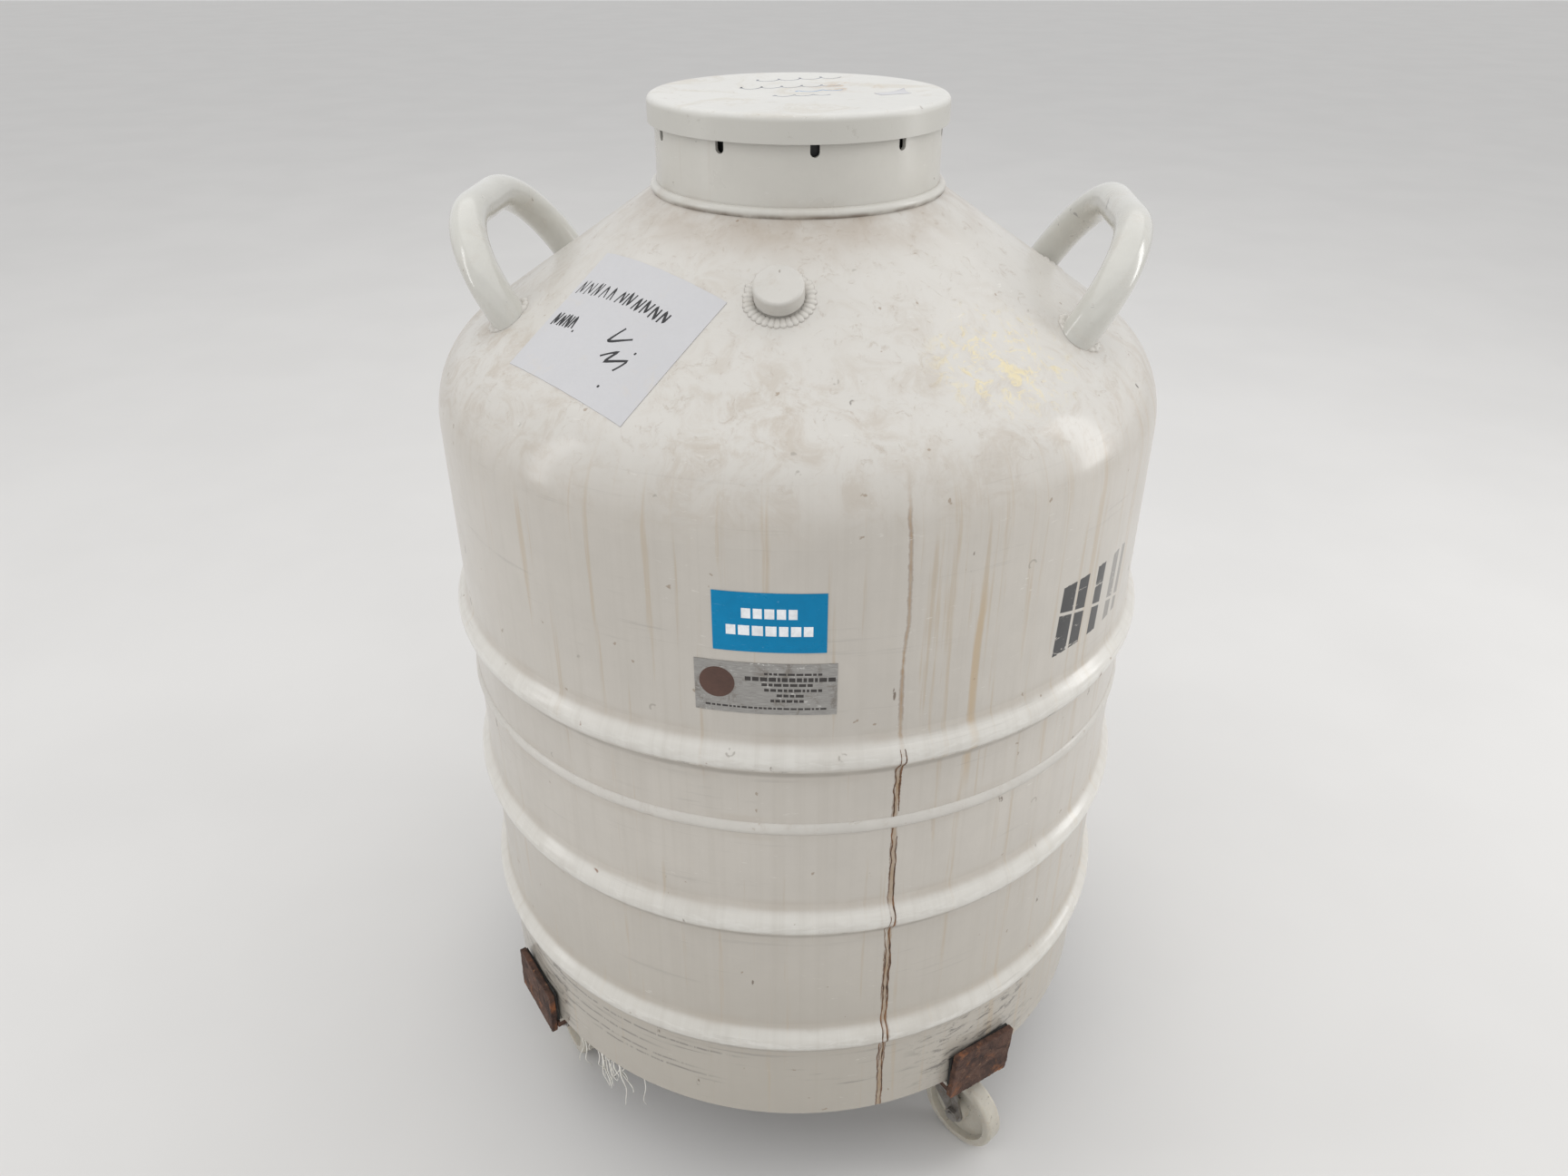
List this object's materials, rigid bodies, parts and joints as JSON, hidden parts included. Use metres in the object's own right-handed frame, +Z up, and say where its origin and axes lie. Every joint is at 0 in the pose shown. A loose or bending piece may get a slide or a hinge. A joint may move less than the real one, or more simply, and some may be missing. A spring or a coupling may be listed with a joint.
{
  "type": "liquid nitrogen dewar",
  "caption": "Vacuum-insulated aluminium vessel for liquid nitrogen with a conical shoulder, bent tube handles and a lift-off lid, held by lugs on a crossed-bar trolley with swivel casters.",
  "frame": {"origin": "on the floor under the vessel's axis, at the lowest point of the casters", "axes": "+Z up along the vessel's axis, -Y towards the front, where the labels are"},
  "size_m": [0.5759, 0.576, 0.8666],
  "materials": {
    "vessel_paint": "satin",
    "lid_paint": "satin",
    "bare_aluminium": "satin",
    "cap_plastic": "matte",
    "seal_rubber": "matte",
    "neck_laminate": "satin",
    "multilayer_wrap": "satin",
    "black_plastic": "matte",
    "plug_foam": "matte",
    "blue_film": "satin",
    "foil_film": "satin",
    "note_paper": "matte",
    "rusty_steel": "matte",
    "pad_felt": "matte",
    "zinc_steel": "satin",
    "nylon": "satin"
  },
  "bodies": {
    "trolley": {"trolley_bar_long": "rusty_steel", "trolley_bar_left": "rusty_steel", "trolley_bar_right": "rusty_steel", "trolley_lug_1": "rusty_steel", "trolley_lug_2": "rusty_steel", "trolley_lug_3": "rusty_steel", "trolley_lug_4": "rusty_steel", "trolley_welds": "rusty_steel", "support_pads": "pad_felt", "lug_liners": "seal_rubber", "caster_bolts": "zinc_steel", "caster_nuts": "zinc_steel", "caster_plate_1": "zinc_steel", "caster_kingpin_1": "zinc_steel", "caster_balls_1": "zinc_steel", "caster_plate_2": "zinc_steel", "caster_kingpin_2": "zinc_steel", "caster_balls_2": "zinc_steel", "caster_plate_3": "zinc_steel", "caster_kingpin_3": "zinc_steel", "caster_balls_3": "zinc_steel", "caster_plate_4": "zinc_steel", "caster_kingpin_4": "zinc_steel", "caster_balls_4": "zinc_steel"},
    "vessel": {"outer_shell_top": "vessel_paint", "outer_shell_base": "vessel_paint", "outer_bottom_head": "bare_aluminium", "neck_collar": "vessel_paint", "neck_tube": "neck_laminate", "inner_vessel_top": "bare_aluminium", "inner_vessel_base": "bare_aluminium", "insulation_blanket": "multilayer_wrap", "adsorbent_pouch": "multilayer_wrap", "canister_spider": "bare_aluminium", "handle_left": "vessel_paint", "handle_right": "vessel_paint", "vessel_welds": "vessel_paint", "vacuum_port_boss": "vessel_paint", "vacuum_port_plug": "bare_aluminium", "vacuum_port_oring": "seal_rubber", "blue_label": "blue_film", "foil_label": "foil_film", "paper_note": "note_paper"},
    "port_cap": {"vacuum_port_cap": "cap_plastic"},
    "lid": {"lid_cover": "lid_paint", "plug_holder": "black_plastic", "neck_plug": "plug_foam"},
    "caster_1_fork": {"caster_fork_1": "zinc_steel", "caster_axle_1": "zinc_steel"},
    "caster_1_wheel": {"caster_wheel_1": "nylon"},
    "caster_2_fork": {"caster_fork_2": "zinc_steel", "caster_axle_2": "zinc_steel"},
    "caster_2_wheel": {"caster_wheel_2": "nylon"},
    "caster_3_fork": {"caster_fork_3": "zinc_steel", "caster_axle_3": "zinc_steel"},
    "caster_3_wheel": {"caster_wheel_3": "nylon"},
    "caster_4_fork": {"caster_fork_4": "zinc_steel", "caster_axle_4": "zinc_steel"},
    "caster_4_wheel": {"caster_wheel_4": "nylon"}
  },
  "joints": [
    {"name": "vessel_lift", "type": "slide", "parent": "trolley", "child": "vessel", "axis": [0, 0, 1], "range_m": [0, 0.06]},
    {"name": "lid_lift", "type": "slide", "parent": "vessel", "child": "lid", "axis": [0, 0, 1], "range_m": [0, 0.25]},
    {"name": "port_cap_pull", "type": "slide", "parent": "vessel", "child": "port_cap", "axis": [-0.0458, -0.557, 0.8292], "range_m": [0, 0.03]},
    {"name": "caster_1_swivel", "type": "hinge", "parent": "trolley", "child": "caster_1_fork", "pos_m": [0.13756, -0.20394, 0.085], "axis": [0, 0, 1], "continuous": true},
    {"name": "caster_1_roll", "type": "hinge", "parent": "caster_1_fork", "child": "caster_1_wheel", "pos_m": [0.15257, -0.22003, 0.0375], "axis": [0.7314, 0.682, 0], "continuous": true},
    {"name": "caster_2_swivel", "type": "hinge", "parent": "trolley", "child": "caster_2_fork", "pos_m": [-0.20394, -0.13756, 0.085], "axis": [0, 0, 1], "continuous": true},
    {"name": "caster_2_roll", "type": "hinge", "parent": "caster_2_fork", "child": "caster_2_wheel", "pos_m": [-0.21494, -0.11851, 0.0375], "axis": [-0.866, -0.5, 0], "continuous": true},
    {"name": "caster_3_swivel", "type": "hinge", "parent": "trolley", "child": "caster_3_fork", "pos_m": [0.20394, 0.13756, 0.085], "axis": [0, 0, 1], "continuous": true},
    {"name": "caster_3_roll", "type": "hinge", "parent": "caster_3_fork", "child": "caster_3_wheel", "pos_m": [0.22561, 0.14138, 0.0375], "axis": [-0.1736, 0.9848, 0], "continuous": true},
    {"name": "caster_4_swivel", "type": "hinge", "parent": "trolley", "child": "caster_4_fork", "pos_m": [-0.13756, 0.20394, 0.085], "axis": [0, 0, 1], "continuous": true},
    {"name": "caster_4_roll", "type": "hinge", "parent": "caster_4_fork", "child": "caster_4_wheel", "pos_m": [-0.15661, 0.21494, 0.0375], "axis": [-0.5, -0.866, 0], "continuous": true}
  ]
}
